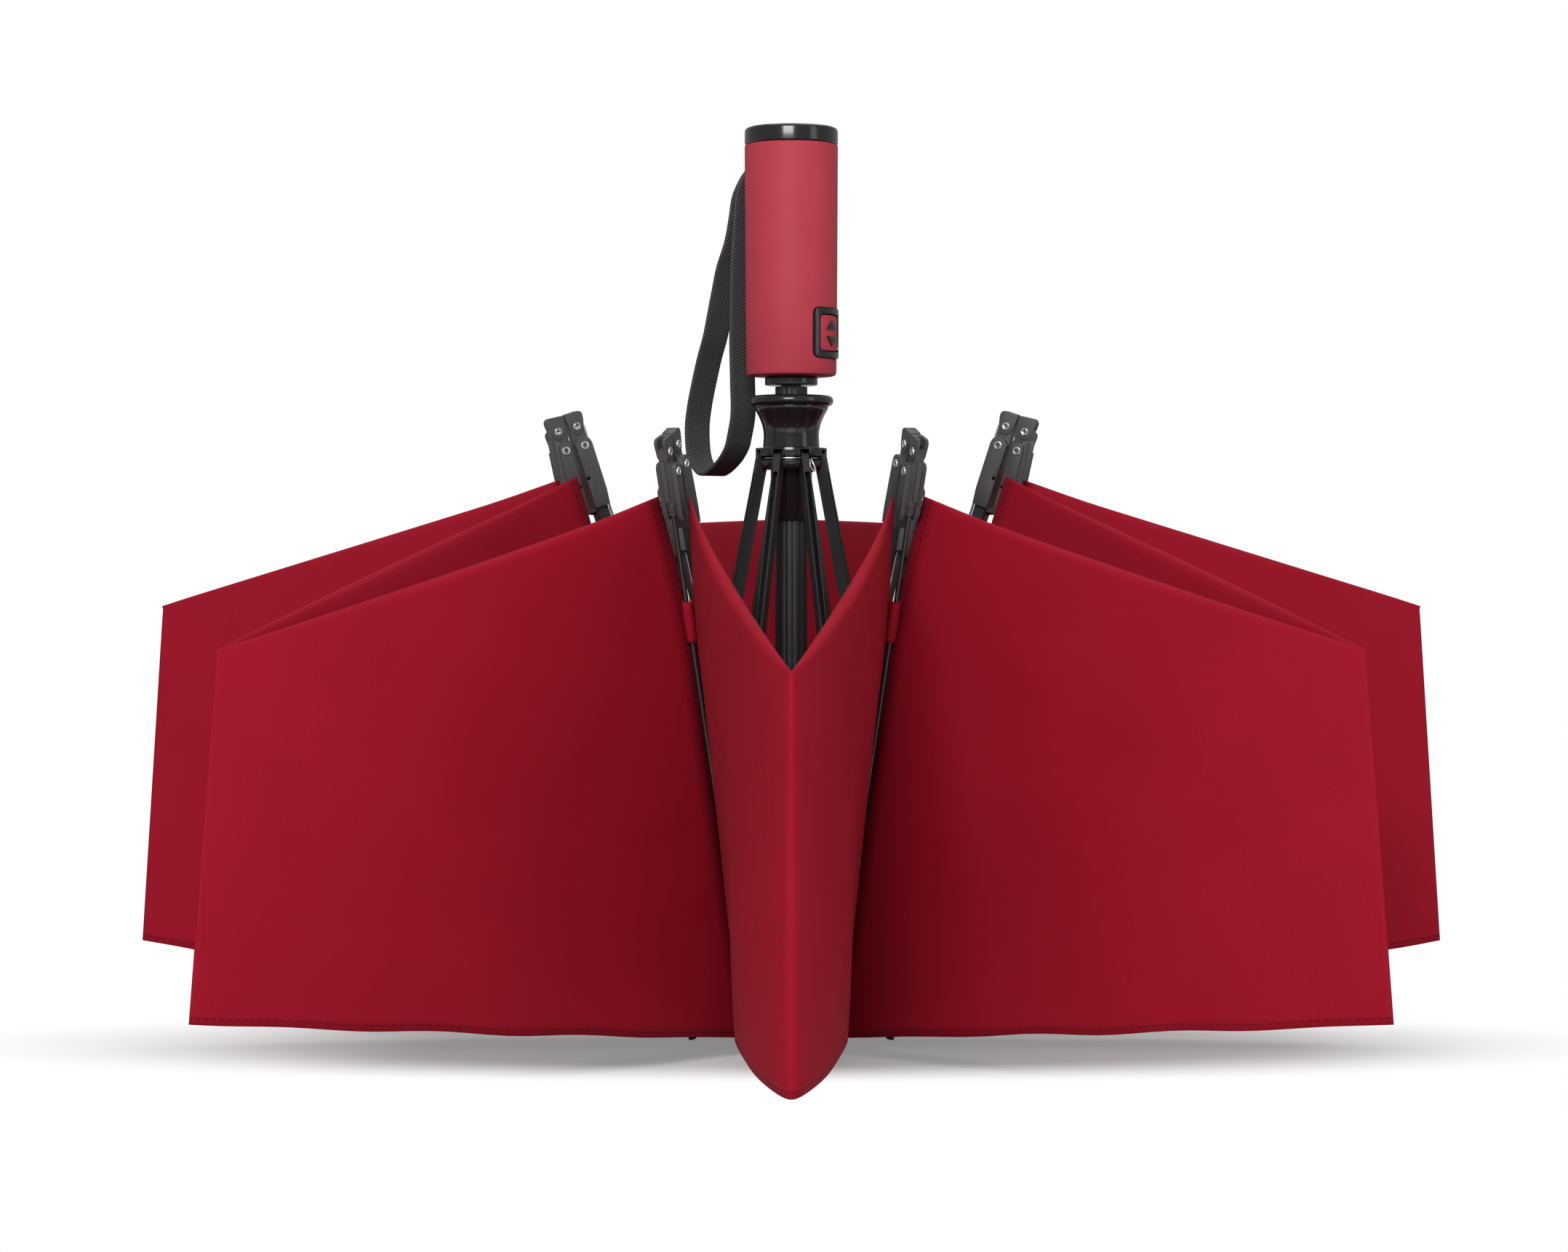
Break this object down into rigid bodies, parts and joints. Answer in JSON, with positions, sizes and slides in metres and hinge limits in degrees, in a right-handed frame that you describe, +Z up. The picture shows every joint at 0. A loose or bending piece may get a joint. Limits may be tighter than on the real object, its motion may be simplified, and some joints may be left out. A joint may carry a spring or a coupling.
{
  "type": "windproof umbrella",
  "caption": "Compact inside-out folding umbrella with eight ribs, a telescoping shaft, a press-button grip and hanging cloth gores.",
  "frame": {"origin": "middle of the crown cap's underside, on the surface that the umbrella stands on", "axes": "+Z up along the shaft to the handle, -Y towards the front, with one gore's middle at -Y"},
  "size_m": [0.5218, 0.541, 0.365],
  "materials": {
    "red_cloth": "fine plain weave, matt with a faint sheen",
    "red_rubber": "matt soft-touch coating",
    "gloss_black": "glossy moulded",
    "black_steel": "black enamel",
    "grey_plastic": "fine matt moulded",
    "aluminium": "drawn, satin",
    "webbing": "coarse woven nylon"
  },
  "bodies": {
    "crown": {"crown_cap": "gloss_black", "crown_notch": "grey_plastic", "crown_wire": "aluminium", "shaft_outer_tube": "black_steel"},
    "middle_tube": {"shaft_middle_tube": "black_steel"},
    "handle": {"grip": "red_rubber", "end_cap": "gloss_black", "collar": "gloss_black", "button_frame": "gloss_black", "shaft_inner_tube": "black_steel", "wrist_strap": "webbing"},
    "button": {"button": "red_rubber"},
    "runner": {"runner": "gloss_black", "runner_ring": "gloss_black", "runner_wire": "aluminium"},
    "rib_1": {"inner_rib_1": "black_steel", "elbow_1": "grey_plastic"},
    "stretcher_body_1": {"stretcher_1": "black_steel"},
    "outer_rib_body_1": {"outer_rib_1": "grey_plastic"},
    "gore_body_1": {"gore_1": "red_cloth"},
    "rib_2": {"inner_rib_2": "black_steel", "elbow_2": "grey_plastic"},
    "stretcher_body_2": {"stretcher_2": "black_steel"},
    "outer_rib_body_2": {"outer_rib_2": "grey_plastic"},
    "gore_body_2": {"gore_2": "red_cloth"},
    "rib_3": {"inner_rib_3": "black_steel", "elbow_3": "grey_plastic"},
    "stretcher_body_3": {"stretcher_3": "black_steel"},
    "outer_rib_body_3": {"outer_rib_3": "grey_plastic"},
    "gore_body_3": {"gore_3": "red_cloth"},
    "rib_4": {"inner_rib_4": "black_steel", "elbow_4": "grey_plastic"},
    "stretcher_body_4": {"stretcher_4": "black_steel"},
    "outer_rib_body_4": {"outer_rib_4": "grey_plastic"},
    "gore_body_4": {"gore_4": "red_cloth"},
    "rib_5": {"inner_rib_5": "black_steel", "elbow_5": "grey_plastic"},
    "stretcher_body_5": {"stretcher_5": "black_steel"},
    "outer_rib_body_5": {"outer_rib_5": "grey_plastic"},
    "gore_body_5": {"gore_5": "red_cloth"},
    "rib_6": {"inner_rib_6": "black_steel", "elbow_6": "grey_plastic"},
    "stretcher_body_6": {"stretcher_6": "black_steel"},
    "outer_rib_body_6": {"outer_rib_6": "grey_plastic"},
    "gore_body_6": {"gore_6": "red_cloth"},
    "rib_7": {"inner_rib_7": "black_steel", "elbow_7": "grey_plastic"},
    "stretcher_body_7": {"stretcher_7": "black_steel"},
    "outer_rib_body_7": {"outer_rib_7": "grey_plastic"},
    "gore_body_7": {"gore_7": "red_cloth"},
    "rib_8": {"inner_rib_8": "black_steel", "elbow_8": "grey_plastic"},
    "stretcher_body_8": {"stretcher_8": "black_steel"},
    "outer_rib_body_8": {"outer_rib_8": "grey_plastic"},
    "gore_body_8": {"gore_8": "red_cloth"}
  },
  "joints": [
    {"name": "handle_extend", "type": "slide", "parent": "crown", "child": "handle", "axis": [0, 0, 1], "range_m": [0, 0.25]},
    {"name": "middle_tube_extend", "type": "slide", "parent": "crown", "child": "middle_tube", "axis": [0, 0, 1], "range_m": [0, 0.125]},
    {"name": "button_press", "type": "slide", "parent": "handle", "child": "button", "axis": [-0.8572, 0.515, 0], "range_m": [0, 0.001], "stiffness_N_per_m": 600, "springref_m": -0.002},
    {"name": "runner_slide", "type": "slide", "parent": "crown", "child": "runner", "axis": [0, 0, -1], "range_m": [0, 0.0967], "deforming": ["gore_1", "gore_2", "gore_3", "gore_4", "gore_5", "gore_6", "gore_7", "gore_8"]},
    {"name": "rib_hinge_1", "type": "hinge", "parent": "crown", "child": "rib_1", "pos_m": [0.00406, -0.00979, 0.014], "axis": [0.9239, 0.3827, 0], "range_deg": [0, 58.01]},
    {"name": "stretcher_hinge_1", "type": "hinge", "parent": "runner", "child": "stretcher_body_1", "pos_m": [0.00482, -0.01164, 0.2333], "axis": [-0.9239, -0.3827, 0], "range_deg": [0, 21.41]},
    {"name": "elbow_hinge_1", "type": "hinge", "parent": "rib_1", "child": "outer_rib_body_1", "pos_m": [0.04579, -0.11055, 0.23899], "axis": [-0.9239, -0.3827, 0], "range_deg": [0, 163.01]},
    {"name": "gore_swing_1", "type": "hinge", "parent": "crown", "child": "gore_body_1", "pos_m": [0, -0.3489, 0.11775], "axis": [-1, 0, 0], "range_deg": [0, 85.83]},
    {"name": "rib_hinge_2", "type": "hinge", "parent": "crown", "child": "rib_2", "pos_m": [0.00979, -0.00406, 0.014], "axis": [0.3827, 0.9239, 0], "range_deg": [0, 63.81]},
    {"name": "stretcher_hinge_2", "type": "hinge", "parent": "runner", "child": "stretcher_body_2", "pos_m": [0.01164, -0.00482, 0.2333], "axis": [-0.3827, -0.9239, 0], "range_deg": [0, 25.97]},
    {"name": "elbow_hinge_2", "type": "hinge", "parent": "rib_2", "child": "outer_rib_body_2", "pos_m": [0.08902, -0.03687, 0.24886], "axis": [-0.3827, -0.9239, 0], "range_deg": [0, 162.31]},
    {"name": "gore_swing_2", "type": "hinge", "parent": "crown", "child": "gore_body_2", "pos_m": [0.25741, -0.25741, 0.11629], "axis": [-0.7071, -0.7071, 0], "range_deg": [0, 79.67]},
    {"name": "rib_hinge_3", "type": "hinge", "parent": "crown", "child": "rib_3", "pos_m": [0.00979, 0.00406, 0.014], "axis": [-0.3827, 0.9239, 0], "range_deg": [0, 62.51]},
    {"name": "stretcher_hinge_3", "type": "hinge", "parent": "runner", "child": "stretcher_body_3", "pos_m": [0.01164, 0.00482, 0.2333], "axis": [0.3827, -0.9239, 0], "range_deg": [0, 25.02]},
    {"name": "elbow_hinge_3", "type": "hinge", "parent": "rib_3", "child": "outer_rib_body_3", "pos_m": [0.09393, 0.03891, 0.24685], "axis": [0.3827, -0.9239, 0], "range_deg": [0, 161.01]},
    {"name": "gore_swing_3", "type": "hinge", "parent": "crown", "child": "gore_body_3", "pos_m": [0.35542, 0, 0.13866], "axis": [0, -1, 0], "range_deg": [0, 81.39]},
    {"name": "rib_hinge_4", "type": "hinge", "parent": "crown", "child": "rib_4", "pos_m": [0.00406, 0.00979, 0.014], "axis": [-0.9239, 0.3827, 0], "range_deg": [0, 52.21]},
    {"name": "stretcher_hinge_4", "type": "hinge", "parent": "runner", "child": "stretcher_body_4", "pos_m": [0.00482, 0.01164, 0.2333], "axis": [0.9239, -0.3827, 0], "range_deg": [0, 15.51]},
    {"name": "elbow_hinge_4", "type": "hinge", "parent": "rib_4", "child": "outer_rib_body_4", "pos_m": [0.05428, 0.13104, 0.22682], "axis": [0.9239, -0.3827, 0], "range_deg": [0, 164.71]},
    {"name": "gore_swing_4", "type": "hinge", "parent": "crown", "child": "gore_body_4", "pos_m": [0.25741, 0.25741, 0.11629], "axis": [0.7071, -0.7071, 0], "range_deg": [0, 79.67]},
    {"name": "rib_hinge_5", "type": "hinge", "parent": "crown", "child": "rib_5", "pos_m": [-0.00406, 0.00979, 0.014], "axis": [-0.9239, -0.3827, 0], "range_deg": [0, 52.21]},
    {"name": "stretcher_hinge_5", "type": "hinge", "parent": "runner", "child": "stretcher_body_5", "pos_m": [-0.00482, 0.01164, 0.2333], "axis": [0.9239, 0.3827, 0], "range_deg": [0, 15.51]},
    {"name": "elbow_hinge_5", "type": "hinge", "parent": "rib_5", "child": "outer_rib_body_5", "pos_m": [-0.05428, 0.13104, 0.22682], "axis": [0.9239, 0.3827, 0], "range_deg": [0, 164.71]},
    {"name": "gore_swing_5", "type": "hinge", "parent": "crown", "child": "gore_body_5", "pos_m": [0, 0.3835, 0.1917], "axis": [1, 0, 0], "range_deg": [0, 69.28]},
    {"name": "rib_hinge_6", "type": "hinge", "parent": "crown", "child": "rib_6", "pos_m": [-0.00979, 0.00406, 0.014], "axis": [-0.3827, -0.9239, 0], "range_deg": [0, 62.51]},
    {"name": "stretcher_hinge_6", "type": "hinge", "parent": "runner", "child": "stretcher_body_6", "pos_m": [-0.01164, 0.00482, 0.2333], "axis": [0.3827, 0.9239, 0], "range_deg": [0, 25.02]},
    {"name": "elbow_hinge_6", "type": "hinge", "parent": "rib_6", "child": "outer_rib_body_6", "pos_m": [-0.09393, 0.03891, 0.24685], "axis": [0.3827, 0.9239, 0], "range_deg": [0, 161.01]},
    {"name": "gore_swing_6", "type": "hinge", "parent": "crown", "child": "gore_body_6", "pos_m": [-0.25741, 0.25741, 0.11629], "axis": [0.7071, 0.7071, 0], "range_deg": [0, 79.67]},
    {"name": "rib_hinge_7", "type": "hinge", "parent": "crown", "child": "rib_7", "pos_m": [-0.00979, -0.00406, 0.014], "axis": [0.3827, -0.9239, 0], "range_deg": [0, 63.81]},
    {"name": "stretcher_hinge_7", "type": "hinge", "parent": "runner", "child": "stretcher_body_7", "pos_m": [-0.01164, -0.00482, 0.2333], "axis": [-0.3827, 0.9239, 0], "range_deg": [0, 25.97]},
    {"name": "elbow_hinge_7", "type": "hinge", "parent": "rib_7", "child": "outer_rib_body_7", "pos_m": [-0.08902, -0.03687, 0.24886], "axis": [-0.3827, 0.9239, 0], "range_deg": [0, 162.31]},
    {"name": "gore_swing_7", "type": "hinge", "parent": "crown", "child": "gore_body_7", "pos_m": [-0.35542, 0, 0.13866], "axis": [0, 1, 0], "range_deg": [0, 81.39]},
    {"name": "rib_hinge_8", "type": "hinge", "parent": "crown", "child": "rib_8", "pos_m": [-0.00406, -0.00979, 0.014], "axis": [0.9239, -0.3827, 0], "range_deg": [0, 58.01]},
    {"name": "stretcher_hinge_8", "type": "hinge", "parent": "runner", "child": "stretcher_body_8", "pos_m": [-0.00482, -0.01164, 0.2333], "axis": [-0.9239, 0.3827, 0], "range_deg": [0, 21.41]},
    {"name": "elbow_hinge_8", "type": "hinge", "parent": "rib_8", "child": "outer_rib_body_8", "pos_m": [-0.04579, -0.11055, 0.23899], "axis": [-0.9239, 0.3827, 0], "range_deg": [0, 163.01]},
    {"name": "gore_swing_8", "type": "hinge", "parent": "crown", "child": "gore_body_8", "pos_m": [-0.25741, -0.25741, 0.11629], "axis": [-0.7071, 0.7071, 0], "range_deg": [0, 79.67]}
  ],
  "couplings": [
    {"joint": "middle_tube_extend", "follows": "handle_extend", "ratio": 0.5},
    {"joint": "rib_hinge_1", "follows": "runner_slide", "rad_per_m": 10.468},
    {"joint": "stretcher_hinge_1", "follows": "runner_slide", "rad_per_m": 3.8628},
    {"joint": "elbow_hinge_1", "follows": "runner_slide", "rad_per_m": 29.42},
    {"joint": "gore_swing_1", "follows": "runner_slide", "rad_per_m": 15.489},
    {"joint": "rib_hinge_2", "follows": "runner_slide", "rad_per_m": 11.515},
    {"joint": "stretcher_hinge_2", "follows": "runner_slide", "rad_per_m": 4.6859},
    {"joint": "elbow_hinge_2", "follows": "runner_slide", "rad_per_m": 29.293},
    {"joint": "gore_swing_2", "follows": "runner_slide", "rad_per_m": 14.379},
    {"joint": "rib_hinge_3", "follows": "runner_slide", "rad_per_m": 11.281},
    {"joint": "stretcher_hinge_3", "follows": "runner_slide", "rad_per_m": 4.5149},
    {"joint": "elbow_hinge_3", "follows": "runner_slide", "rad_per_m": 29.059},
    {"joint": "gore_swing_3", "follows": "runner_slide", "rad_per_m": 14.689},
    {"joint": "rib_hinge_4", "follows": "runner_slide", "rad_per_m": 9.4215},
    {"joint": "stretcher_hinge_4", "follows": "runner_slide", "rad_per_m": 2.7984},
    {"joint": "elbow_hinge_4", "follows": "runner_slide", "rad_per_m": 29.727},
    {"joint": "gore_swing_4", "follows": "runner_slide", "rad_per_m": 14.379},
    {"joint": "rib_hinge_5", "follows": "runner_slide", "rad_per_m": 9.4215},
    {"joint": "stretcher_hinge_5", "follows": "runner_slide", "rad_per_m": 2.7984},
    {"joint": "elbow_hinge_5", "follows": "runner_slide", "rad_per_m": 29.727},
    {"joint": "gore_swing_5", "follows": "runner_slide", "rad_per_m": 12.503},
    {"joint": "rib_hinge_6", "follows": "runner_slide", "rad_per_m": 11.281},
    {"joint": "stretcher_hinge_6", "follows": "runner_slide", "rad_per_m": 4.5149},
    {"joint": "elbow_hinge_6", "follows": "runner_slide", "rad_per_m": 29.059},
    {"joint": "gore_swing_6", "follows": "runner_slide", "rad_per_m": 14.379},
    {"joint": "rib_hinge_7", "follows": "runner_slide", "rad_per_m": 11.515},
    {"joint": "stretcher_hinge_7", "follows": "runner_slide", "rad_per_m": 4.6859},
    {"joint": "elbow_hinge_7", "follows": "runner_slide", "rad_per_m": 29.293},
    {"joint": "gore_swing_7", "follows": "runner_slide", "rad_per_m": 14.689},
    {"joint": "rib_hinge_8", "follows": "runner_slide", "rad_per_m": 10.468},
    {"joint": "stretcher_hinge_8", "follows": "runner_slide", "rad_per_m": 3.8628},
    {"joint": "elbow_hinge_8", "follows": "runner_slide", "rad_per_m": 29.42},
    {"joint": "gore_swing_8", "follows": "runner_slide", "rad_per_m": 14.379}
  ]
}
